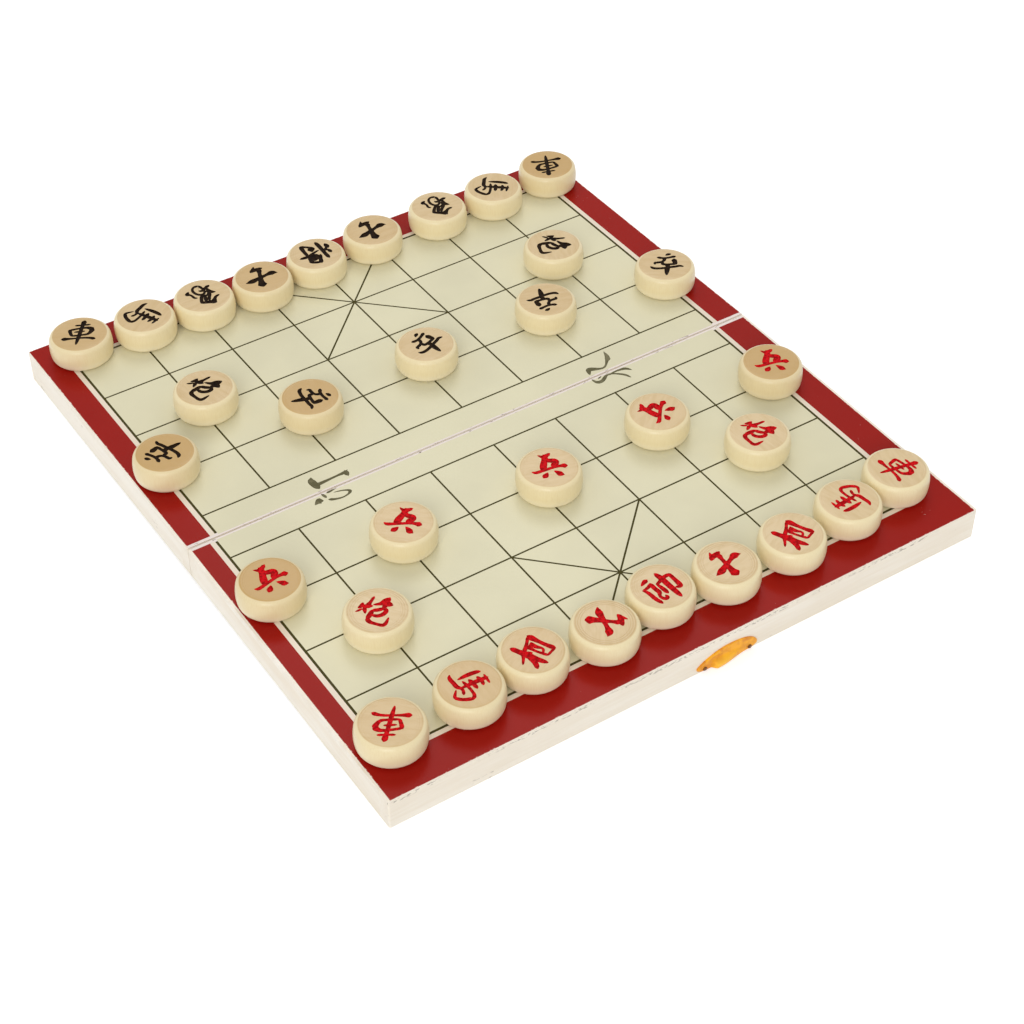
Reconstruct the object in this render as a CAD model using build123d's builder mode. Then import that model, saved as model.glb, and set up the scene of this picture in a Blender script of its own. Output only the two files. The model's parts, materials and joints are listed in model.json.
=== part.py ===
from build123d import *
import os
from math import asin, atan, cos, degrees, hypot, radians, sin

# Folding board and its thirty-two turned pieces, in millimetres. X runs along the fold, Y from the
# red side to the black side, Z up from the table. Opened, the two halves are shallow trays standing
# rim down, with the playing surface on their backs; folded, the rims meet and the print is outside.

# Wooden halves
board_width = 270.0  # along the fold
half_length = 150.0  # from the seam face to the outer face of one half
half_height = 14.2  # from the rim to the printed face
panel_thickness = 3.0
wall_thickness = 6.5
wood_edge_radius = 0.8
seam_gap = 0.3  # between the two seam walls when the board lies flat

# Printed sheets, each glued to its panel a little off the middle, with bare wood round them
sheet_thickness = 0.2
sheet_outer_margin = 0.3
sheet_seam_margin = 0.1
sheet_left_margin = {"red": 1.0, "black": 0.5}
sheet_right_margin = {"red": 1.2, "black": 0.3}

# Butt hinges let into the rims beside the seam
hinge_length = 25.0
hinge_inset = 50.0  # from each side of the board to the middle of the hinge
knuckle_radius = 1.5
hinge_pin_radius = 0.6
leaf_thickness = 0.8
leaf_inset = 0.15  # the leaf lies this far inside the rim
leaf_edge = 0.6  # wood left between the leaf and the inside of the wall
hinge_pin_head = 0.3
hinge_nail_radius = 0.6
hinge_nail_head_radius = 1.15
hinge_nail_length = 6.0
hinge_nail_spacing = 14.0

# Clasp: a catch on the red half, and a plate with a swinging flap on the black half
clasp_x = 12.0
clasp_sheet = 0.6
clasp_plate_length = 29.0
clasp_plate_low = 0.4
clasp_plate_high = 8.4  # the top of the arch
clasp_plate_tip = 2.4  # the height of the two ends, where the arch springs
clasp_plate_slant = 1.6  # how far the foot's two corners are cut back
clasp_plate_corner = 1.2
lip_half_width = 6.9
lip_low = 0.6
lip_shoulder = 2.2
lip_top = 4.8
lip_stand = 2.4  # how far the lip stands out from the wall
clasp_nail_radius = 0.55
clasp_nail_head_radius = 0.9
clasp_nail_head = 0.5
clasp_nail_length = 5.0
catch_nail_spacing = 21.0
catch_nail_up = 1.7
hasp_nail_spacing = 22.4
hasp_nail_up = 3.7
hasp_axis_up = 1.3
hasp_axis_out = 1.25
hasp_knuckle_radius = 1.0
hasp_pin_radius = 0.45
hasp_pin_head = 0.3
flap_half_width = 9.2
flap_length = 7.8
flap_bar = 1.7
flap_seat = 0.4  # the turned-up flap's outer face lies this far outside its axis
flap_rest_lean = 5.0  # degrees between the turned-up flap and the wall
flap_corner = 1.4

# Clearances
pin_clearance = 0.05
pin_head_gap = 0.05
nail_clearance = 0.04
mortise_clearance = 0.15
knuckle_gap = 0.2
knuckle_relief = 0.35
flap_clearance = 0.3

# Turned pieces
piece_gap = 3.2  # left between two pieces that stand square on neighbouring files
piece_height = 11.2
piece_swell = 0.9  # how far the side swells out past the two rims
piece_top_radius = 1.8
piece_foot_radius = 2.8

# Print grid that the pieces stand on: nine files, and five ranks on each half, inside a border
# measured from the edges of the sheet
files = 9
ranks = 5
border_left = {"red": 10.34, "black": 12.9}
border_right = {"red": 15.86, "black": 14.7}
border_far = {"red": 18.58, "black": 17.77}
river_margin = {"red": 13.11, "black": 13.92}  # from the fold axis to the nearest rank

# The starting set-up of each side, as file and rank, with the ranks counted from the river: the
# back rank, the two cannons, and the five soldiers
back_rank = [(file, 4) for file in range(files)]
set_up = back_rank + [(1, 2), (7, 2)] + [(file, 1) for file in range(0, files, 2)]

# How far each piece, in the order of the set-up, stands off its crossing along X and Y
piece_drift = {
    "red": {
        "red_left_chariot": (3.5, 3.5),
        "red_left_horse": (6.0, 3.5),
        "red_left_minister": (4.0, 5.0),
        "red_left_advisor": (3.5, 2.0),
        "red_general": (1.5, 6.0),
        "red_right_advisor": (-0.5, 2.5),
        "red_right_minister": (0.0, 1.5),
        "red_right_horse": (0.0, 4.5),
        "red_right_chariot": (-2.5, 8.5),
        "red_left_cannon": (-2.5, -6.0),
        "red_right_cannon": (-4.5, -3.5),
        "red_soldier_1": (2.5, 0.5),
        "red_soldier_2": (0.0, 0.0),
        "red_soldier_3": (4.0, -4.5),
        "red_soldier_4": (-0.5, -0.5),
        "red_soldier_5": (-2.5, -0.5),
    },
    "black": {
        "black_left_chariot": (5.5, 3.0),
        "black_left_horse": (4.0, -0.5),
        "black_left_elephant": (1.5, -2.0),
        "black_left_advisor": (-1.0, -4.0),
        "black_general": (-3.0, -2.0),
        "black_right_advisor": (-3.0, 0.0),
        "black_right_elephant": (1.0, -0.5),
        "black_right_horse": (0.5, -1.5),
        "black_right_chariot": (1.5, 0.0),
        "black_left_cannon": (2.5, -0.5),
        "black_right_cannon": (-2.5, 3.5),
        "black_soldier_1": (0.5, 1.0),
        "black_soldier_2": (5.5, -0.5),
        "black_soldier_3": (3.0, 3.0),
        "black_soldier_4": (2.0, 1.0),
        "black_soldier_5": (-0.5, -7.0),
    },
}

# The hinge knuckles stand proud of the rims, so the opened board rests on them and on the outer
# edges of its rims, and each half leans a little down and away from the seam.
reach = seam_gap / 2 + half_length
lean = asin(knuckle_radius / reach)
fold_axis = (0, 0, knuckle_radius)
base = {
    "red": Plane(origin=fold_axis, x_dir=(1, 0, 0), z_dir=(0, -sin(lean), cos(lean))),
    "black": Plane(origin=fold_axis, x_dir=(1, 0, 0), z_dir=(0, sin(lean), cos(lean))),
}
away = {"red": -1, "black": 1}  # which way a half lies from the seam, along its own Y
far_wall_name = {"red": "front", "black": "back"}

sheet_low = half_height - sheet_thickness
sheet_far = reach - sheet_outer_margin
panel_low = sheet_low - panel_thickness
seam_face = seam_gap / 2
leaf_far = seam_face + wall_thickness - leaf_edge
leaf_near = knuckle_radius + knuckle_relief
leaf_high = leaf_inset + leaf_thickness
knuckle_length = (hinge_length - 2 * knuckle_gap) / 3
hinges = {"left": hinge_inset - board_width / 2, "right": board_width / 2 - hinge_inset}
slot_half_width = lip_half_width + flap_clearance
hasp_bore_radius = hasp_pin_radius + pin_clearance

os.makedirs("parts", exist_ok=True)


def save(piece, label):
    piece.label = label
    export_step(piece, f"parts/{label}.step")


def middle(first, second):
    return (first + second) / 2


def sheet_ends(colour):
    """Where the left and right edges of a half's printed sheet lie along X."""
    half_width = board_width / 2
    return sheet_left_margin[colour] - half_width, half_width - sheet_right_margin[colour]


def file_pitch(colour):
    left, right = sheet_ends(colour)
    return (right - border_right[colour] - left - border_left[colour]) / (files - 1)


def rank_pitch(colour):
    return (sheet_far - border_far[colour] - river_margin[colour]) / (ranks - 1)


def crossing(colour, file, rank):
    """Where a file and a rank of the print cross, on the half's own plane."""
    x = sheet_ends(colour)[0] + border_left[colour] + file * file_pitch(colour)
    y = river_margin[colour] + rank * rank_pitch(colour)
    return x, away[colour] * y


def across_plane(colour, x):
    """A plane square to the fold at x: its x runs towards the black side and its y runs up."""
    half = base[colour]
    return Plane(origin=half.from_local_coords((x, 0, 0)), x_dir=half.y_dir, z_dir=half.x_dir)


def outer_plane(colour):
    """The outer face of the half's far wall, from the rim at the clasp: y runs up, z runs out."""
    half = base[colour]
    way = away[colour]
    foot = half.from_local_coords((clasp_x, way * reach, 0))
    return Plane(origin=foot, x_dir=half.x_dir * -way, z_dir=half.y_dir * way)


def rim_nail_places(colour, centres):
    """Where the nails go through the leaves of the hinges at these centres, on the rim plane."""
    y = away[colour] * middle(leaf_near, leaf_far)
    shifts = (-hinge_nail_spacing / 2, hinge_nail_spacing / 2)
    return [(x + shift, y) for x in centres for shift in shifts]


def clasp_nail_places(spacing, up):
    return [(-spacing / 2, up), (spacing / 2, up)]


def outer_corner_edges(part, colour):
    """The part's two upright edges that lie furthest from the seam."""
    half = base[colour]
    upright = part.edges().filter_by(Axis(half.origin, half.z_dir))
    return upright.sort_by(Axis(half.origin, half.y_dir * away[colour]))[-2:]


def slab_outline(colour, width, near, far, low, shift=0.0):
    """A rectangle between two distances from the fold axis, at a height above the rim plane."""
    with BuildSketch(base[colour].offset(low)) as outline:
        with Locations((shift, away[colour] * middle(near, far))):
            Rectangle(width, far - near)
    return outline.sketch


# Trays: each half is a panel glued on four walls, with its printed sheet on top
def make_panel(colour):
    with BuildPart() as panel:
        extrude(slab_outline(colour, board_width, seam_face, reach, panel_low), amount=panel_thickness)
        fillet(outer_corner_edges(panel, colour), radius=wood_edge_radius)
    save(panel.part, f"{colour}_panel")


def make_sheet(colour):
    near = seam_face + sheet_seam_margin
    left, right = sheet_ends(colour)
    outline = slab_outline(colour, right - left, near, sheet_far, sheet_low, middle(left, right))
    with BuildPart() as sheet:
        extrude(outline, amount=sheet_thickness)
    save(sheet.part, f"{colour}_sheet")


def make_side_walls(colour):
    near = seam_face + wall_thickness
    far = reach - wall_thickness
    x = (board_width - wall_thickness) / 2
    for side, shift in (("left", -x), ("right", x)):
        with BuildPart() as wall:
            extrude(slab_outline(colour, wall_thickness, near, far, 0, shift), amount=panel_low)
        save(wall.part, f"{colour}_{side}_wall")


def make_far_wall(colour, nail_spacing, nail_up):
    pilot_depth = clasp_nail_length - clasp_sheet
    outline = slab_outline(colour, board_width, reach - wall_thickness, reach, 0)
    with BuildPart() as wall:
        extrude(outline, amount=panel_low)
        fillet(outer_corner_edges(wall, colour), radius=wood_edge_radius)
        with BuildSketch(outer_plane(colour)):
            with Locations(*clasp_nail_places(nail_spacing, nail_up)):
                Circle(clasp_nail_radius + nail_clearance)
        extrude(amount=-pilot_depth - nail_clearance, mode=Mode.SUBTRACT)
    save(wall.part, f"{colour}_{far_wall_name[colour]}_wall")


def make_seam_wall(colour):
    groove_length = hinge_length + 2 * (pin_head_gap + hinge_pin_head + knuckle_relief)
    mortise_far = leaf_far + mortise_clearance
    pilot_depth = hinge_nail_length - leaf_thickness + nail_clearance
    outline = slab_outline(colour, board_width, seam_face, seam_face + wall_thickness, 0)
    with BuildPart() as wall:
        extrude(outline, amount=panel_low)
        with BuildSketch(base[colour]):
            with Locations(*[(x, away[colour] * mortise_far / 2) for x in hinges.values()]):
                Rectangle(hinge_length + 2 * mortise_clearance, mortise_far)
        extrude(amount=leaf_high, mode=Mode.SUBTRACT)
        for x in hinges.values():
            with BuildSketch(across_plane(colour, x - groove_length / 2)):
                Circle(knuckle_radius + knuckle_relief)
            extrude(amount=groove_length, mode=Mode.SUBTRACT)
        with BuildSketch(base[colour].offset(leaf_high)):
            with Locations(*rim_nail_places(colour, hinges.values())):
                Circle(hinge_nail_radius + nail_clearance)
        extrude(amount=pilot_depth, mode=Mode.SUBTRACT)
    save(wall.part, f"{colour}_seam_wall")


# Hinges: the red leaf has the two end knuckles and the black leaf the middle one
nail_head_taper = degrees(atan((hinge_nail_head_radius - hinge_nail_radius) / leaf_thickness))


def nail_head_outline(colour, centres, clearance):
    """The rims of the tapered nail heads, or of their seats, on the underside of the leaves."""
    with BuildSketch(base[colour].offset(leaf_inset)) as outline:
        with Locations(*rim_nail_places(colour, centres)):
            Circle(hinge_nail_head_radius + clearance)
    return outline.sketch


def make_leaf(place, x, colour, knuckles):
    way = away[colour]
    start = x - hinge_length / 2
    seats = nail_head_outline(colour, (x,), nail_clearance)
    with BuildPart() as leaf:
        with BuildSketch(base[colour].offset(leaf_inset)):
            with Locations((x, way * middle(leaf_near, leaf_far))):
                Rectangle(hinge_length, leaf_far - leaf_near)
        extrude(amount=leaf_thickness)
        for knuckle in knuckles:
            with BuildSketch(across_plane(colour, start + knuckle * (knuckle_length + knuckle_gap))):
                Circle(knuckle_radius)
                with Locations((way * leaf_near / 2, middle(leaf_inset, leaf_high))):
                    Rectangle(leaf_near, leaf_thickness)
                Circle(hinge_pin_radius + pin_clearance, mode=Mode.SUBTRACT)
            extrude(amount=knuckle_length)
        extrude(seats, amount=leaf_thickness, taper=nail_head_taper, mode=Mode.SUBTRACT)
    save(leaf.part, f"{place}_hinge_{colour}_leaf")


def make_hinge_nails(colour):
    with BuildPart() as nails:
        extrude(nail_head_outline(colour, hinges.values(), 0), amount=leaf_thickness, taper=nail_head_taper)
        with BuildSketch(base[colour].offset(leaf_high)):
            with Locations(*rim_nail_places(colour, hinges.values())):
                Circle(hinge_nail_radius)
        extrude(amount=hinge_nail_length - leaf_thickness)
    save(nails.part, f"{colour}_hinge_nails")


def make_hinge_pin(place, x):
    shank = hinge_length + 2 * pin_head_gap
    head_radius = middle(hinge_pin_radius, knuckle_radius)
    with BuildPart() as pin:
        with BuildSketch(across_plane("red", x - shank / 2)):
            Circle(hinge_pin_radius)
        extrude(amount=shank)
        for end in (x - shank / 2 - hinge_pin_head, x + shank / 2):
            with BuildSketch(across_plane("red", end)):
                Circle(head_radius)
            extrude(amount=hinge_pin_head)
    save(pin.part, f"{place}_hinge_pin")


# Clasp
def clasp_plate_outline(colour, nail_spacing, nail_up):
    """The outline of a clasp plate with its two nail holes, on the outer face of the wall."""
    x = clasp_plate_length / 2
    inner = x - clasp_plate_slant
    with BuildSketch(outer_plane(colour)) as outline:
        with BuildLine():
            Polyline((-x, clasp_plate_tip), (-inner, clasp_plate_low), (inner, clasp_plate_low), (x, clasp_plate_tip))
            ThreePointArc((x, clasp_plate_tip), (0, clasp_plate_high), (-x, clasp_plate_tip))
        make_face()
        fillet(outline.vertices(), radius=clasp_plate_corner)
        with Locations(*clasp_nail_places(nail_spacing, nail_up)):
            Circle(clasp_nail_radius + nail_clearance, mode=Mode.SUBTRACT)
    return outline.sketch


def make_catch():
    wall_face = outer_plane("red")
    slope = (lip_top - lip_shoulder) / (lip_stand - clasp_sheet)
    drop = clasp_sheet * (hypot(1, slope) - slope)
    edge_plane = Plane(
        origin=wall_face.from_local_coords((-lip_half_width, 0, 0)),
        x_dir=wall_face.z_dir,
        z_dir=-wall_face.x_dir,
    )
    with BuildPart() as catch:
        extrude(clasp_plate_outline("red", catch_nail_spacing, catch_nail_up), amount=clasp_sheet)
        with BuildSketch(wall_face):
            with Locations((0, lip_top / 2)):
                Rectangle(2 * lip_half_width, lip_top)
        extrude(amount=clasp_sheet, mode=Mode.SUBTRACT)
        with BuildSketch(edge_plane):
            with BuildLine():
                Polyline(
                    (clasp_sheet, lip_top),
                    (lip_stand, lip_shoulder),
                    (lip_stand, lip_low),
                    (lip_stand - clasp_sheet, lip_low),
                    (lip_stand - clasp_sheet, lip_shoulder - drop),
                    (0, lip_top - drop),
                    (0, lip_top),
                    close=True,
                )
            make_face()
        extrude(amount=-2 * lip_half_width)
    save(catch.part, "catch_plate")


def make_clasp_nails(colour, spacing, up, label):
    wall_face = outer_plane(colour)
    with BuildPart() as nails:
        for x, y in clasp_nail_places(spacing, up):
            foot = wall_face.from_local_coords((x, y, 0))
            with BuildSketch(Plane(origin=foot, x_dir=wall_face.x_dir, z_dir=-wall_face.y_dir)):
                with BuildLine():
                    Polyline(
                        (0, clasp_sheet + clasp_nail_head),
                        (clasp_nail_radius, clasp_sheet + clasp_nail_head),
                        (clasp_nail_head_radius, clasp_sheet + clasp_nail_head / 2),
                        (clasp_nail_head_radius, clasp_sheet),
                        (clasp_nail_radius, clasp_sheet),
                        (clasp_nail_radius, clasp_sheet + clasp_nail_radius - clasp_nail_length),
                        (0, clasp_sheet - clasp_nail_length),
                        close=True,
                    )
                make_face()
            revolve(axis=Axis(foot, wall_face.z_dir))
    save(nails.part, label)


hasp_face = outer_plane("black")


def hasp_across_plane(x):
    """A plane square to the flap's axis, x along it from the middle of the clasp."""
    origin = hasp_face.from_local_coords((x, hasp_axis_up, hasp_axis_out))
    return Plane(origin=origin, x_dir=-hasp_face.z_dir, z_dir=hasp_face.x_dir)


def make_hasp_plate():
    knuckle_half = slot_half_width - knuckle_gap
    window_high = hasp_axis_up + hasp_knuckle_radius + flap_clearance
    window_far = flap_half_width + pin_head_gap + hasp_pin_head + flap_clearance
    window_x = middle(knuckle_half, window_far)
    with BuildPart() as plate:
        extrude(clasp_plate_outline("black", hasp_nail_spacing, hasp_nail_up), amount=clasp_sheet)
        with BuildSketch(hasp_face):
            with Locations((-window_x, window_high / 2), (window_x, window_high / 2)):
                Rectangle(window_far - knuckle_half, window_high)
        extrude(amount=clasp_sheet, mode=Mode.SUBTRACT)
        with BuildSketch(hasp_across_plane(-knuckle_half)):
            Circle(hasp_knuckle_radius)
        extrude(amount=2 * knuckle_half)
        with BuildSketch(hasp_across_plane(-knuckle_half)):
            Circle(hasp_bore_radius)
        extrude(amount=2 * knuckle_half, mode=Mode.SUBTRACT)
    save(plate.part, "hasp_plate")


def make_flap():
    turn = radians(flap_rest_lean)
    flap_plane = Plane(
        origin=hasp_face.from_local_coords((0, hasp_axis_up, hasp_axis_out)),
        x_dir=hasp_face.x_dir,
        z_dir=hasp_face.z_dir * cos(turn) - hasp_face.y_dir * sin(turn),
    )
    slot_length = flap_length - flap_bar
    with BuildPart() as flap:
        with BuildSketch(flap_plane.offset(flap_seat - clasp_sheet)) as outline:
            with Locations((0, flap_length / 2)):
                Rectangle(2 * flap_half_width, flap_length)
            fillet(outline.vertices().group_by(Axis.Y)[-1], radius=flap_corner)
            with Locations((0, slot_length / 2)):
                Rectangle(2 * slot_half_width, slot_length, mode=Mode.SUBTRACT)
        extrude(amount=clasp_sheet)
        for start in (-flap_half_width, slot_half_width):
            with BuildSketch(hasp_across_plane(start)):
                Circle(hasp_knuckle_radius)
            extrude(amount=flap_half_width - slot_half_width)
        with BuildSketch(hasp_across_plane(-flap_half_width)):
            Circle(hasp_bore_radius)
        extrude(amount=2 * flap_half_width, mode=Mode.SUBTRACT)
    save(flap.part, "hasp_flap")


def make_hasp_pin():
    shank = 2 * (flap_half_width + pin_head_gap)
    head_radius = middle(hasp_pin_radius, hasp_knuckle_radius)
    with BuildPart() as pin:
        with BuildSketch(hasp_across_plane(-shank / 2)):
            Circle(hasp_pin_radius)
        extrude(amount=shank)
        for end in (-shank / 2 - hasp_pin_head, shank / 2):
            with BuildSketch(hasp_across_plane(end)):
                Circle(head_radius)
            extrude(amount=hasp_pin_head)
    save(pin.part, "hasp_pin")


# Pieces: turned discs with swelling sides and rounded rims
piece_radius = (min(file_pitch(colour) for colour in base) - piece_gap) / 2


def make_piece(colour, label, place, drift):
    half = base[colour]
    x, y = crossing(colour, *place)
    foot = half.from_local_coords((x + drift[0], y + drift[1], half_height))
    rim_radius = piece_radius - piece_swell
    with BuildPart() as piece:
        with BuildSketch(Plane(origin=foot, x_dir=half.x_dir, z_dir=-half.y_dir)) as outline:
            with BuildLine():
                Line((0, 0), (rim_radius, 0))
                ThreePointArc((rim_radius, 0), (piece_radius, piece_height / 2), (rim_radius, piece_height))
                Polyline((rim_radius, piece_height), (0, piece_height), (0, 0))
            make_face()
            for height, radius in ((0, piece_foot_radius), (piece_height, piece_top_radius)):
                rim = outline.vertices().sort_by_distance((rim_radius, height))[0]
                fillet(rim, radius=radius)
        revolve(axis=Axis(foot, half.z_dir))
    save(piece.part, label)


for colour in base:
    make_panel(colour)
    make_sheet(colour)
    make_side_walls(colour)
    make_seam_wall(colour)
    make_hinge_nails(colour)
    for (label, drift), place in zip(piece_drift[colour].items(), set_up):
        make_piece(colour, label, place, drift)

make_far_wall("red", catch_nail_spacing, catch_nail_up)
make_far_wall("black", hasp_nail_spacing, hasp_nail_up)

for place, x in hinges.items():
    make_leaf(place, x, "red", (0, 2))
    make_leaf(place, x, "black", (1,))
    make_hinge_pin(place, x)

make_catch()
make_clasp_nails("red", catch_nail_spacing, catch_nail_up, "catch_nails")
make_hasp_plate()
make_hasp_pin()
make_flap()
make_clasp_nails("black", hasp_nail_spacing, hasp_nail_up, "hasp_nails")

print("each half leans", round(degrees(lean), 3), "degrees")
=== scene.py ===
import json
import math

import bpy
from mathutils import Matrix, Vector


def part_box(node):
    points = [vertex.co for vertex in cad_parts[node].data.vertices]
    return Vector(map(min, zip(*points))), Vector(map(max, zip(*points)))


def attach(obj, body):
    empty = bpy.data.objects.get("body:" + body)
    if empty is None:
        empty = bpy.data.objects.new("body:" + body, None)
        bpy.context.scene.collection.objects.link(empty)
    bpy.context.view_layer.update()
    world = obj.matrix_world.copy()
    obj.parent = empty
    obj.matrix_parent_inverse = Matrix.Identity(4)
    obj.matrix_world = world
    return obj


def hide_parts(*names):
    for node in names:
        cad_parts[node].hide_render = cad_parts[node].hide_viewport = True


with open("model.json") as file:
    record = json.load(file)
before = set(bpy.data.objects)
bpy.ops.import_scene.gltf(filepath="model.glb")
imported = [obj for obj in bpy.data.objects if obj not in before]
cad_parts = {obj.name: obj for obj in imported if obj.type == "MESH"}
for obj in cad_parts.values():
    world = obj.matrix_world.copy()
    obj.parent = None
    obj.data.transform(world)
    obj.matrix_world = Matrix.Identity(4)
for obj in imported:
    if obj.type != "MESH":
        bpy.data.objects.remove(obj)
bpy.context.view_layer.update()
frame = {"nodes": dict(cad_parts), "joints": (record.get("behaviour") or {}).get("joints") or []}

# Looks for the folding river board: pale wooden trays, glossy printed paper, a small amber clasp
# and thirty-two turned pieces with carved and painted signs. Sizes here are in millimetres, but for
# those of the studio, which are in metres, and the numbers that scale a noise.
mm = 0.001
tiny = 0.001 * mm  # less than any two edges here lie apart
foldPlace = next(joint["pos_m"] for joint in frame["joints"] if joint["name"] == "fold")
away = {"red": -1, "black": 1}  # which way each half lies from the fold
print("frame loaded:", len(frame["nodes"]), "nodes")


def halfPlane(colour):
    # The half's own plane: x along the fold, y from red to black, z square to the print
    lift = next(joint for joint in frame["joints"] if joint["name"] == f"lift_{colour}_soldier_1")
    up = Vector(lift["axis"]).normalized()
    along = Vector((1, 0, 0))
    across = up.cross(along)
    turn = Matrix((along, across, up)).transposed().to_4x4()
    return Matrix.Translation(Vector(foldPlace)) @ turn


def tint(red, green, blue):
    # A colour as seen on screen, 0 to 255, as the shader wants it
    return tuple(((part / 255 + 0.055) / 1.055) ** 2.4 for part in (red, green, blue)) + (1.0,)


# Shader helpers: each makes one node, sets it and wires what goes into it
def wire(tree, kind, inputs=None, **settings):
    made = tree.nodes.new("ShaderNode" + kind)
    for key, value in settings.items():
        setattr(made, key, value)
    for key, value in (inputs or {}).items():
        if isinstance(value, bpy.types.NodeSocket):
            tree.links.new(value, made.inputs[key])
        else:
            made.inputs[key].default_value = value
    return made


def reckon(tree, operation, first, second=0.0, clamp=False):
    return wire(tree, "Math", {0: first, 1: second}, operation=operation, use_clamp=clamp).outputs[0]


def times(tree, first, second):
    return reckon(tree, "MULTIPLY", first, second)


def mixColours(tree, factor, first, second):
    return wire(tree, "Mix", {0: factor, 6: first, 7: second}, data_type="RGBA").outputs[2]


def fade(tree, value, low, high, outLow=0.0, outHigh=1.0):
    # outLow where the value is low, outHigh where it is high, smooth between
    inputs = {"Value": value, "From Min": low, "From Max": high, "To Min": outLow, "To Max": outHigh}
    return wire(tree, "MapRange", inputs, interpolation_type="SMOOTHSTEP").outputs["Result"]


def noise(tree, vector, scale, detail=3.0, distortion=0.0):
    inputs = {"Vector": vector, "Scale": scale, "Detail": detail, "Distortion": distortion}
    return wire(tree, "TexNoise", inputs).outputs["Fac"]


def stretched(tree, vector, stretch):
    return wire(tree, "Mapping", {"Vector": vector, "Scale": stretch}).outputs[0]


def stretchedNoise(tree, vector, stretch, detail, distortion=0.0):
    # Noise with a scale of its own along each axis
    return noise(tree, stretched(tree, vector, stretch), 1.0, detail, distortion)


def objectPlace(tree):
    return wire(tree, "TexCoord").outputs["Object"]


def attribute(tree, name, output="Fac"):
    return wire(tree, "Attribute", attribute_name=name).outputs[output]


def roughen(tree, shader, height, strength, depth):
    bump = wire(tree, "Bump", {"Height": height, "Strength": strength, "Distance": depth * mm})
    tree.links.new(bump.outputs[0], shader.inputs["Normal"])


def newMaterial(name, roughness, specular, coat=0.0, coatRoughness=0.1, metallic=0.0):
    material = bpy.data.materials.new(name)
    material.use_nodes = True
    tree = material.node_tree
    shader = tree.nodes["Principled BSDF"]
    values = {
        "Roughness": roughness,
        "Specular IOR Level": specular,
        "Metallic": metallic,
        "Coat Weight": coat,
        "Coat Roughness": coatRoughness,
    }
    for key, value in values.items():
        shader.inputs[key].default_value = value
    return material, tree, shader


def setMaterial(node, material):
    node.data.materials.clear()
    node.data.materials.append(material)


def newGroup(name, inputs, outputs):
    group = bpy.data.node_groups.new(name, "ShaderNodeTree")
    for way, sockets in (("INPUT", inputs), ("OUTPUT", outputs)):
        for label, kind in sockets.items():
            group.interface.new_socket(label, in_out=way, socket_type="NodeSocket" + kind)
    start = group.nodes.new("NodeGroupInput")
    end = group.nodes.new("NodeGroupOutput")
    return group, start.outputs, end.inputs


def useGroup(tree, group, inputs):
    return wire(tree, "Group", inputs, node_tree=group).outputs


# Camera, as the photograph was taken
photoCamera = {"place": (-364.2, -582.0, 591.3), "turn": (47.716, 0.305, -33.319), "lens": 76.63}
bpy.ops.object.camera_add(
    location=Vector(photoCamera["place"]) * mm,
    rotation=[math.radians(angle) for angle in photoCamera["turn"]],
)
camera = bpy.context.object
camera.data.lens = photoCamera["lens"]
camera.data.sensor_width = 36
camera.data.clip_start = 0.01
bpy.context.scene.camera = camera

# Floor and lights, in metres
studio = {
    "floorSize": 8.0,
    "floorColour": (0.82, 0.82, 0.82, 1),
    "floorRoughness": 0.6,
    "floorSpecular": 0.1,
    "floorLift": 0.44,  # added where the camera sees the floor, so that it reads as white
    "worldStrength": 0.6,
    "lamps": {
        "keyLamp": {"place": (-2.85, -3.0, 2.55), "size": 2.7, "power": 90.0},
        "topLamp": {"place": (0.9, 1.5, 2.4), "size": 1.6, "power": 17.0},
    },
}
white = (1, 1, 1, 1)


def seenRay(tree):
    # 1 for what the camera sees, straight or in a shiny or clear surface, and 0 for other light
    path = wire(tree, "LightPath").outputs
    seen = reckon(tree, "MAXIMUM", path["Is Camera Ray"], path["Is Glossy Ray"])
    return reckon(tree, "MAXIMUM", seen, path["Is Transmission Ray"])


def makeFloor():
    bpy.ops.mesh.primitive_plane_add(size=studio["floorSize"])
    floor = bpy.context.object
    floor.name = "floor"
    material, tree, shader = newMaterial("paleFloor", studio["floorRoughness"], studio["floorSpecular"])
    shader.inputs["Base Color"].default_value = studio["floorColour"]
    lifted = times(tree, seenRay(tree), studio["floorLift"])
    glow = wire(tree, "Emission", {"Color": white, "Strength": lifted}).outputs[0]
    both = wire(tree, "AddShader", {0: shader.outputs[0], 1: glow}).outputs[0]
    tree.links.new(both, tree.nodes["Material Output"].inputs["Surface"])
    floor.data.materials.append(material)


def makeStudio():
    makeFloor()
    world = bpy.data.worlds.new("paleRoom")
    bpy.context.scene.world = world
    world.use_nodes = True
    tree = world.node_tree
    background = tree.nodes["Background"].inputs
    background["Color"].default_value = white
    strength = fade(tree, seenRay(tree), 0.0, 1.0, studio["worldStrength"], 1.0)
    tree.links.new(strength, background["Strength"])
    for name, lamp in studio["lamps"].items():
        bpy.ops.object.light_add(type="AREA", location=lamp["place"])
        light = bpy.context.object
        light.name = name
        light.data.shape = "DISK"
        light.data.size = lamp["size"]
        light.data.energy = lamp["power"]
        light.rotation_euler = (-Vector(lamp["place"])).to_track_quat("-Z", "Y").to_euler()
    bpy.context.scene.view_settings.view_transform = "Standard"
    print("studio ready")


makeStudio()


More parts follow.
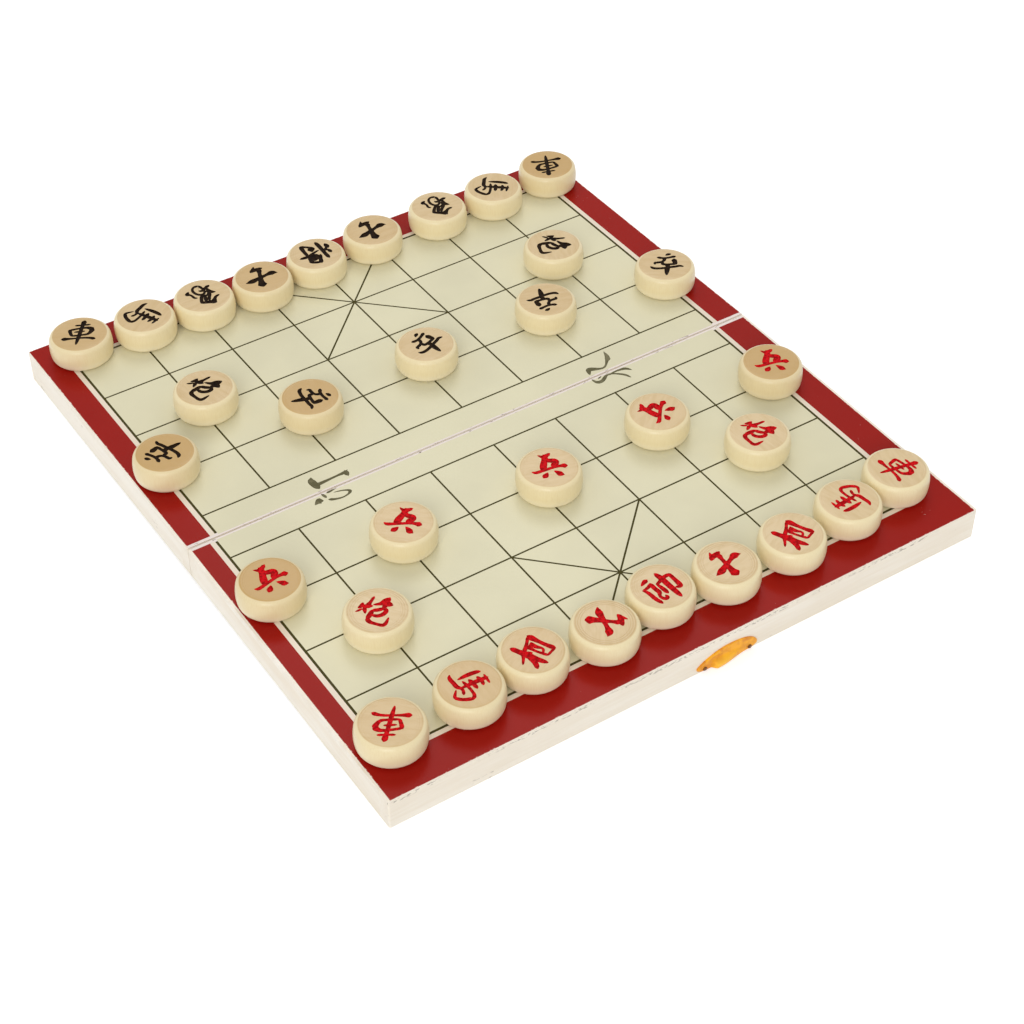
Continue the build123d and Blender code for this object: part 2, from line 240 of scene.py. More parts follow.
# Shared effects: wood fibres, and small worn marks. In the looks, here and below, a noise is given
# by its scale or stretch, then its detail and its distortion. A key ending in From says between
# which values a look takes hold, one ending in Fade adds its share at each of the two, and bump is
# a strength and a depth.
fibreLook = {
    "broad": ((9, 90, 90), 3.0, 0.4),
    "fine": ((60, 900, 900), 4.0, 0.2),
    "cloud": (18.0, 2.0),
    "shares": {"broad": 0.55, "fine": 0.30, "cloud": 0.25},
    "deepFrom": (0.40, 0.72),
}
markLook = {
    "detail": 2.0,
    "patches": 0.12,  # the patches' scale as a share of the specks'
    "edge": 0.52,  # how high the noise has to rise to leave a mark
    "edgeShare": 0.3,  # and how much of Amount is taken off that
    "sharpness": 14.0,
}


def makeGrain():
    # Broad and fine fibres with soft clouds in them: Vector runs along the fibres on its x
    group, given, out = newGroup(
        "woodFibres",
        {"Vector": "Vector", "Pale": "Color", "Deep": "Color", "Contrast": "Float"},
        {"Color": "Color", "Height": "Float"},
    )
    shares = fibreLook["shares"]
    broad = times(group, stretchedNoise(group, given["Vector"], *fibreLook["broad"]), shares["broad"])
    fine = times(group, stretchedNoise(group, given["Vector"], *fibreLook["fine"]), shares["fine"])
    cloud = times(group, noise(group, given["Vector"], *fibreLook["cloud"]), shares["cloud"])
    figure = reckon(group, "ADD", reckon(group, "ADD", broad, fine), cloud)
    depth = times(group, fade(group, figure, *fibreLook["deepFrom"]), given["Contrast"])
    group.links.new(mixColours(group, depth, given["Pale"], given["Deep"]), out["Color"])
    group.links.new(figure, out["Height"])
    return group


def makeMarks():
    # Small random specks in patches: Mask is 1 on a mark and 0 beside it
    group, given, out = newGroup(
        "smallMarks",
        {"Vector": "Vector", "Scale": "Float", "Amount": "Float"},
        {"Mask": "Float"},
    )
    look = markLook
    spots = noise(group, given["Vector"], given["Scale"], look["detail"])
    patches = noise(group, given["Vector"], times(group, given["Scale"], look["patches"]), look["detail"])
    edge = reckon(group, "SUBTRACT", look["edge"], times(group, given["Amount"], look["edgeShare"]))
    over = reckon(group, "SUBTRACT", times(group, spots, patches), edge)
    group.links.new(reckon(group, "MULTIPLY", over, look["sharpness"], clamp=True), out["Mask"])
    return group


woodFibres = makeGrain()
smallMarks = makeMarks()

# Pale wooden trays, the CAD solids with their grain running along each board
trayWood = {
    "pale": tint(250, 243, 230),
    "deep": tint(232, 217, 192),
    "contrast": 0.5,
    "surface": {"roughness": 0.5, "specular": 0.35, "coat": 0.15, "coatRoughness": 0.35},
    "bump": (0.25, 0.3),
    "mark": tint(122, 106, 90),
    "marks": {"stretch": (0.35, 1, 1), "scale": 900.0, "amount": 0.3, "share": 0.4},
    "outerFace": 149.5,  # only the outer walls' faces lie further than this from the fold
    "crumbs": (11.8, 13.9),  # heights between which the glued edge of the panel is chipped
    "crumbEdge": 0.5,
    "chips": ((600, 1800, 2200), 3.0),
    "chipsFrom": (0.53, 0.6),
    "runs": ((28, 28, 28), 2.0),  # the chips come in runs, with sound stretches between
    "runsFrom": (0.36, 0.52),
    "chipShare": 0.6,
}


def chippedShare(tree, where, turned):
    # How far the wood shows chips along the panel's outer edge
    look = trayWood
    low, high = (height * mm for height in look["crumbs"])
    soft = look["crumbEdge"] * mm
    apart = wire(tree, "SeparateXYZ", {0: where}).outputs
    outer = reckon(tree, "GREATER_THAN", reckon(tree, "ABSOLUTE", apart["Y"]), look["outerFace"] * mm)
    rise = fade(tree, apart["Z"], low, low + soft)
    fall = fade(tree, apart["Z"], high, high - soft)
    chips = fade(tree, stretchedNoise(tree, turned, *look["chips"]), *look["chipsFrom"])
    runs = fade(tree, stretchedNoise(tree, turned, *look["runs"]), *look["runsFrom"])
    chips = times(tree, times(tree, chips, runs), times(tree, rise, fall))
    return times(tree, chips, times(tree, outer, look["chipShare"]))


def makeTrayWood(name, turn):
    look = trayWood
    material, tree, shader = newMaterial(name, **look["surface"])
    where = objectPlace(tree)
    turned = wire(tree, "Mapping", {"Vector": where, "Rotation": (0, 0, turn)}).outputs[0]
    grain = useGroup(tree, woodFibres, {
        "Vector": turned, "Pale": look["pale"], "Deep": look["deep"], "Contrast": look["contrast"],
    })
    marks = useGroup(tree, smallMarks, {
        "Vector": stretched(tree, turned, look["marks"]["stretch"]),
        "Scale": look["marks"]["scale"],
        "Amount": look["marks"]["amount"],
    })
    marked = times(tree, marks["Mask"], look["marks"]["share"])
    colour = mixColours(tree, marked, grain["Color"], look["mark"])
    colour = mixColours(tree, chippedShare(tree, where, turned), colour, look["mark"])
    tree.links.new(colour, shader.inputs["Base Color"])
    roughen(tree, shader, grain["Height"], *look["bump"])
    return material


def dressTrays():
    alongFold = makeTrayWood("woodAlongFold", 0.0)
    acrossFold = makeTrayWood("woodAcrossFold", math.pi / 2)
    for colour, far in (("red", "front"), ("black", "back")):
        for part in ("panel", f"{far}_wall", "seam_wall"):
            setMaterial(frame["nodes"][f"{colour}_{part}"], alongFold)
        for side in ("left", "right"):
            setMaterial(frame["nodes"][f"{colour}_{side}_wall"], acrossFold)
    print("trays dressed")


dressTrays()

# Brass of the hinges and the amber lacquer of the clasp, with dark nails
metals = {
    "hingeBrass": {
        "pale": tint(226, 190, 112), "deep": tint(170, 128, 60), "roughness": 0.32, "metallic": 1.0,
    },
    "claspLacquer": {
        "pale": tint(250, 176, 0), "deep": tint(218, 132, 0), "roughness": 0.36, "metallic": 0.25,
    },
    "darkNail": {
        "pale": tint(148, 96, 44), "deep": tint(98, 60, 26), "roughness": 0.4, "metallic": 0.4,
    },
}
metalFinish = {
    "specular": 0.3,
    "coat": 0.2,
    "cloud": (260.0, 4.0, 0.5),
    "deepFrom": (0.35, 0.7),
    # Painted light: the lacquer is painted paler where the catch's lip stands out, for the light its front
    # catches
    "paintedLightOnLip": tint(254, 192, 50),  # the lacquer where the catch stands out
    "scratches": ((300, 2600, 2600), 2.0),
    "scratchesFrom": (0.3, 0.75),
    "roughnessShares": (0.85, 1.2),  # of the metal's own roughness, off and on a scratch
    "bump": (0.08, 0.05),
}


def makeMetal(name):
    look, finish = metals[name], metalFinish
    material, tree, shader = newMaterial(
        name, look["roughness"], finish["specular"], finish["coat"], metallic=look["metallic"])
    where = objectPlace(tree)
    clouded = fade(tree, noise(tree, where, *finish["cloud"]), *finish["deepFrom"])
    colour = mixColours(tree, clouded, look["pale"], look["deep"])
    # Painted light: paler lacquer painted on the lip, by the mask that the catch's mesh carries
    colour = mixColours(tree, attribute(tree, "paintedLightOnLip"), colour, finish["paintedLightOnLip"])
    tree.links.new(colour, shader.inputs["Base Color"])
    scratches = stretchedNoise(tree, where, *finish["scratches"])
    between = [look["roughness"] * share for share in finish["roughnessShares"]]
    rough = fade(tree, scratches, *finish["scratchesFrom"], *between)
    tree.links.new(rough, shader.inputs["Roughness"])
    roughen(tree, shader, scratches, *finish["bump"])
    return material


def dressMetals():
    made = {name: makeMetal(name) for name in metals}
    for name, node in frame["nodes"].items():
        if "hinge" in name:
            setMaterial(node, made["hingeBrass"])
        elif name in ("catch_nails", "hasp_nails"):
            setMaterial(node, made["darkNail"])
        elif name.startswith(("catch", "hasp")):
            setMaterial(node, made["claspLacquer"])
    print("metals dressed")
    return made


# The catch as one pressed sheet: a flat-footed arch whose middle swells out into a smooth lip
pressedCatch = {
    "wallFace": 150.15,  # from the fold to the wall's outer face
    "halfLength": 14.05,
    "foot": 0.4,
    "endFoot": 2.0,
    "footPower": 8,  # the foot line stays flat and rises only near the ends
    "endTop": 2.9,
    "top": 8.4,
    "fullness": {-1: (1.7, 0.8), 1: (2.6, 0.6)},  # the left end is more pointed than the right
    "sheet": 0.45,
    "face": 0.6,
    "rimDrop": 0.15,  # the rim is pressed down over this width
    "rimWidth": 0.7,
    "lipStand": 1.8,
    "lipLeft": (5.4, 7.6),  # from the middle: full height up to the first, gone at the second
    "lipRight": (-4.5, 9.5),
    "lipTop": (1.9, 4.7),
    "steps": (96, 36),
    "smoothAngle": 40,
}


def ramp(value, start, end):
    # 1 at the start and before it, 0 at the end and past it, smooth between
    part = min(max((end - value) / (end - start), 0.0), 1.0)
    return part * part * (3 - 2 * part)


def catchPoint(u, v):
    # A point of the sheet's face, and how far it is raised on the lip; u and v run from -1 to 1
    look = pressedCatch
    along = math.sin(u * math.pi / 2)
    power, root = look["fullness"][1 if along > 0 else -1]
    low = look["foot"] + (look["endFoot"] - look["foot"]) * abs(along) ** look["footPower"]
    high = look["endTop"] + (look["top"] - look["endTop"]) * (1 - abs(along) ** power) ** root
    x = look["halfLength"] * along
    y = low + (high - low) * (v + 1) / 2
    lip = ramp(-x, *look["lipLeft"]) * ramp(x, *look["lipRight"]) * ramp(y, *look["lipTop"])
    rim = min(y - low, high - y, look["halfLength"] - abs(x))
    height = look["face"] - look["rimDrop"] * ramp(rim, 0.0, look["rimWidth"]) + look["lipStand"] * lip
    return Vector((x, y, height)) * mm, lip


def pressCatch(lacquer):
    look = pressedCatch
    stepsAlong, stepsUp = look["steps"]
    bpy.ops.mesh.primitive_grid_add(x_subdivisions=stepsAlong, y_subdivisions=stepsUp, size=2)
    catch = bpy.context.object
    catch.name = "pressed_catch"
    paintedLightOnLip = []
    for vertex in catch.data.vertices:
        vertex.co, lip = catchPoint(vertex.co.x, vertex.co.y)
        paintedLightOnLip.append(lip)
    # How far each point stands out on the lip, kept as the mask of the painted light on the lacquer
    layer = catch.data.attributes.new("paintedLightOnLip", "FLOAT", "POINT")
    layer.data.foreach_set("value", paintedLightOnLip)
    solid = catch.modifiers.new("sheet", "SOLIDIFY")
    solid.thickness = look["sheet"] * mm
    solid.offset = -1
    bpy.ops.object.modifier_apply(modifier=solid.name)
    bpy.ops.object.shade_smooth_by_angle(angle=math.radians(look["smoothAngle"]))
    low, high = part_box("catch_plate")
    onWall = Matrix.Translation(((low.x + high.x) / 2, -look["wallFace"] * mm, 0))
    catch.data.transform(halfPlane("red") @ onWall @ Matrix.Rotation(math.pi / 2, 4, "X"))
    setMaterial(catch, lacquer)
    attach(catch, "red_tray")
    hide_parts("catch_plate")
    print("catch pressed")


pressCatch(dressMetals()["claspLacquer"])

# Printed paper: a red border, a cream strip, a frame line and the grid, cut into one thin sheet
files, ranks = 9, 5
paper = {
    "borderLeft": {"red": 10.34, "black": 12.9},  # from the sheet's edges to the frame lines
    "borderRight": {"red": 15.86, "black": 14.7},
    "borderFar": {"red": 18.58, "black": 17.77},
    "river": {"red": 13.11, "black": 13.92},  # from the fold to the first rank
    "strip": 2.1,  # cream strip between the border and the frame line
    "frameLine": 1.05,
    "gridLine": 0.78,
    "borderStop": 1.7,  # the red border and the frame line stop short of the seam
    "frameStop": 2.0,
    "wornSeam": 1.1,  # width of the strip along the seam where the print is worn off
    "chippedEdge": 0.25,
}
paperFinish = {
    "cloud": (25.0, 3.0),
    "deepFrom": (0.3, 0.75),
    "deepShare": 0.92,  # of the colour
    "markScale": 1400.0,
    "markShare": 0.5,
    "tooth": (1800.0, 2.0),
    "bump": (0.06, 0.2),
}
rubbedFinish = {"roughness": 0.5, "specular": 0.15, "detail": 4.0}
paperColours = {
    "redBorder": tint(156, 22, 12),
    "creamField": tint(226, 220, 187),
    "creamStrip": tint(238, 224, 204),
    "oliveInk": tint(74, 68, 32),
    "wornSeam": tint(238, 226, 218),
    "chippedEdge": tint(232, 200, 188),
    "seamShade": tint(196, 176, 164),
    "smudge": tint(116, 100, 92),
    "riverInk": tint(92, 87, 56),
    "thinRiverInk": tint(120, 114, 84),
}


def makePaper(name, roughness, specular, wear):
    colour, finish = paperColours[name], paperFinish
    material, tree, shader = newMaterial(name, roughness, specular)
    where = objectPlace(tree)
    clouded = fade(tree, noise(tree, where, *finish["cloud"]), *finish["deepFrom"])
    deep = tuple(part * finish["deepShare"] for part in colour[:3]) + (1.0,)
    body = mixColours(tree, clouded, colour, deep)
    marks = useGroup(tree, smallMarks, {"Vector": where, "Scale": finish["markScale"], "Amount": wear})
    worn = times(tree, marks["Mask"], finish["markShare"])
    body = mixColours(tree, worn, body, paperColours["wornSeam"])
    tree.links.new(body, shader.inputs["Base Color"])
    roughen(tree, shader, noise(tree, where, *finish["tooth"]), *finish["bump"])
    return material


def makeRubbed(name, sound, bare, stretch, bareFrom):
    # Paper rubbed through in patches, where the noise rises past the first value of bareFrom
    finish = rubbedFinish
    material, tree, shader = newMaterial(name, finish["roughness"], finish["specular"])
    patches = stretchedNoise(tree, objectPlace(tree), stretch, finish["detail"])
    colour = mixColours(tree, fade(tree, patches, *bareFrom), paperColours[sound], paperColours[bare])
    tree.links.new(colour, shader.inputs["Base Color"])
    return material


paperMaterials = {
    "redBorder": makePaper("redBorder", roughness=0.25, specular=0.07, wear=0.12),
    "creamField": makePaper("creamField", roughness=0.3, specular=0.2, wear=0.05),
    "creamStrip": makePaper("creamStrip", roughness=0.3, specular=0.2, wear=0.1),
    "oliveInk": makePaper("oliveInk", roughness=0.4, specular=0.04, wear=0.1),
    "wornSeam": makeRubbed("wornSeam", "wornSeam", "smudge", (420, 1500, 1500), (0.6, 0.74)),
    "chippedEdge": makeRubbed("chippedEdge", "redBorder", "chippedEdge", (600, 600, 600), (0.56, 0.66)),
    "seamShade": makePaper("seamShade", roughness=0.6, specular=0.04, wear=0.0),
}
sheetParts = list(paperMaterials)
riverInk = makeRubbed("riverInk", "riverInk", "thinRiverInk", (300, 300, 300), (0.4, 0.7))


def select(mesh, kind, test):
    # Selects the faces or edges that pass the test, in object mode, and goes back to edit mode
    bpy.ops.object.mode_set(mode="OBJECT")
    for layer in (mesh.vertices, mesh.edges, mesh.polygons):
        layer.foreach_set("select", [False] * len(layer))
    for part in mesh.polygons if kind == "FACE" else mesh.edges:
        part.select = test(part)
    bpy.ops.object.mode_set(mode="EDIT")
    bpy.ops.mesh.select_mode(type=kind)


def spread(first, last, count):
    return [first + (last - first) * n / (count - 1) for n in range(count)]


def planSheet(colour):
    # The sheet on its half's own plane, in metres, with far, near and the ranks counted from the fold
    plane = halfPlane(colour)
    low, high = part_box(f"{colour}_sheet")
    way = away[colour]
    farY, nearY = (low.y, high.y) if way < 0 else (high.y, low.y)
    outer = plane.inverted() @ Vector((0, farY, low.z))
    inner = plane.inverted() @ Vector((0, nearY, high.z))
    far = abs(outer.y)
    plan = {
        "plane": plane,
        "way": way,
        "left": low.x,
        "right": high.x,
        "far": far,
        "near": abs(inner.y),
        "bottom": outer.z,
        "top": inner.z,
        "files": spread(
            low.x + paper["borderLeft"][colour] * mm, high.x - paper["borderRight"][colour] * mm, files),
        "ranks": spread(paper["river"][colour] * mm, far - paper["borderFar"][colour] * mm, ranks),
    }
    for key in ("strip", "frameLine", "gridLine", "borderStop", "frameStop", "wornSeam", "chippedEdge"):
        plan[key] = paper[key] * mm
    plan["fieldLeft"] = plan["files"][0] - plan["frameLine"] / 2 - plan["strip"]
    plan["fieldRight"] = plan["files"][-1] + plan["frameLine"] / 2 + plan["strip"]
    plan["fieldFar"] = plan["ranks"][-1] + plan["frameLine"] / 2 + plan["strip"]
    return plan


def plainSheet(colour, plan):
    bpy.ops.mesh.primitive_cube_add(size=1)
    sheet = bpy.context.object
    sheet.name = f"{colour}_print"
    left, right, near, far, bottom, top = (
        plan[key] for key in ("left", "right", "near", "far", "bottom", "top"))
    size = Vector((right - left, far - near, top - bottom))
    centre = Vector(((left + right) / 2, plan["way"] * (near + far) / 2, (bottom + top) / 2))
    sheet.data.transform(Matrix.Translation(centre) @ Matrix.Diagonal(size).to_4x4())
    for material in paperMaterials.values():
        sheet.data.materials.append(material)
    return sheet


def lineEdges(lines, plan, framed):
    # Both edges of each line; the lines whose numbers are in framed are as wide as the frame's
    edges = []
    for n, line in enumerate(lines):
        half = plan["frameLine" if n in framed else "gridLine"] / 2
        edges += [line - half, line + half]
    return edges


def palace(plan):
    # The palace spans the three middle files of the last three ranks
    return plan["files"][3], plan["files"][5], plan["ranks"][2], plan["ranks"][4]


def palaceLines(plan):
    # The crossing of the palace's two diagonals, and a direction square to each of them
    left, right, near, far = palace(plan)
    middle = Vector(((left + right) / 2, plan["way"] * (near + far) / 2))
    normals = []
    for lean in (1, -1):
        direction = Vector((right - left, lean * (far - near))).normalized()
        normals.append(Vector((-direction.y, direction.x)))
    return middle, normals


def inPalace(centre, plan):
    left, right, near, far = palace(plan)
    return left < centre.x < right and near < abs(centre.y) < far and centre.z > plan["top"] - tiny


def bisect(place, normal):
    bpy.ops.mesh.bisect(plane_co=place, plane_no=normal, use_fill=False)


def cutSheet(sheet, plan):
    # Cuts the sheet along every line where its looks change
    chipped = plan["chippedEdge"]
    cutsX = [plan["fieldLeft"], plan["fieldRight"]]
    cutsX += lineEdges(plan["files"], plan, (0, files - 1))
    cutsX += [plan["left"] + chipped, plan["right"] - chipped]
    cutsY = [plan["fieldFar"]]
    cutsY += lineEdges(plan["ranks"], plan, (ranks - 1,))
    cutsY += [plan["borderStop"], plan["frameStop"], plan["wornSeam"], plan["far"] - chipped]
    bpy.ops.object.mode_set(mode="EDIT")
    for x in cutsX:
        bpy.ops.mesh.select_all(action="SELECT")
        bisect((x, 0, 0), (1, 0, 0))
    for y in cutsY:
        bpy.ops.mesh.select_all(action="SELECT")
        bisect((0, plan["way"] * y, 0), (0, 1, 0))
    middle, normals = palaceLines(plan)
    for normal in normals:
        for side in (-1, 1):
            select(sheet.data, "FACE", lambda face: inPalace(face.center, plan))
            point = middle + normal * side * plan["gridLine"] / 2
            bisect((point.x, point.y, 0), (normal.x, normal.y, 0))
    bpy.ops.object.mode_set(mode="OBJECT")


def printedPart(centre, plan):
    # Which of the sheet's looks a face of its top has, by the place of its centre
    x, y = centre.x, abs(centre.y)
    thin, thick = plan["gridLine"] / 2, plan["frameLine"] / 2
    firstFile, lastFile = plan["files"][0], plan["files"][-1]
    firstRank, lastRank = plan["ranks"][0], plan["ranks"][-1]
    if not (plan["fieldLeft"] < x < plan["fieldRight"] and y < plan["fieldFar"]):
        if y < plan["borderStop"]:
            return "wornSeam"
        chipped = plan["chippedEdge"]
        inside = plan["left"] + chipped < x < plan["right"] - chipped and y < plan["far"] - chipped
        return "redBorder" if inside else "chippedEdge"
    if not (firstFile - thick < x < lastFile + thick and y < lastRank + thick):
        return "creamStrip" if y > plan["borderStop"] else "wornSeam"
    if min(abs(x - firstFile), abs(x - lastFile), abs(y - lastRank)) < thick:
        return "oliveInk" if y > plan["frameStop"] else "wornSeam"
    if y < plan["wornSeam"]:
        return "wornSeam"
    onRank = any(abs(y - rank) < thin for rank in plan["ranks"])
    onFile = y > firstRank - thin and any(abs(x - file) < thin for file in plan["files"])
    middle, normals = palaceLines(plan)
    fromMiddle = Vector((x, centre.y)) - middle
    onDiagonal = inPalace(centre, plan) and any(abs(fromMiddle.dot(normal)) < thin for normal in normals)
    return "oliveInk" if onRank or onFile or onDiagonal else "creamField"


def printSheet(colour):
    plan = planSheet(colour)
    sheet = plainSheet(colour, plan)
    cutSheet(sheet, plan)
    for face in sheet.data.polygons:
        part = printedPart(face.center, plan) if face.normal.z > 0.5 else "wornSeam"
        if abs(face.normal.y) > 0.5 and abs(face.center.y) < plan["wornSeam"]:
            part = "seamShade"
        face.material_index = sheetParts.index(part)
    sheet.data.transform(plan["plane"])
    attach(sheet, f"{colour}_tray")
    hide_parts(f"{colour}_sheet")
    return plan


plans = {colour: printSheet(colour) for colour in ("red", "black")}
print("paper printed")

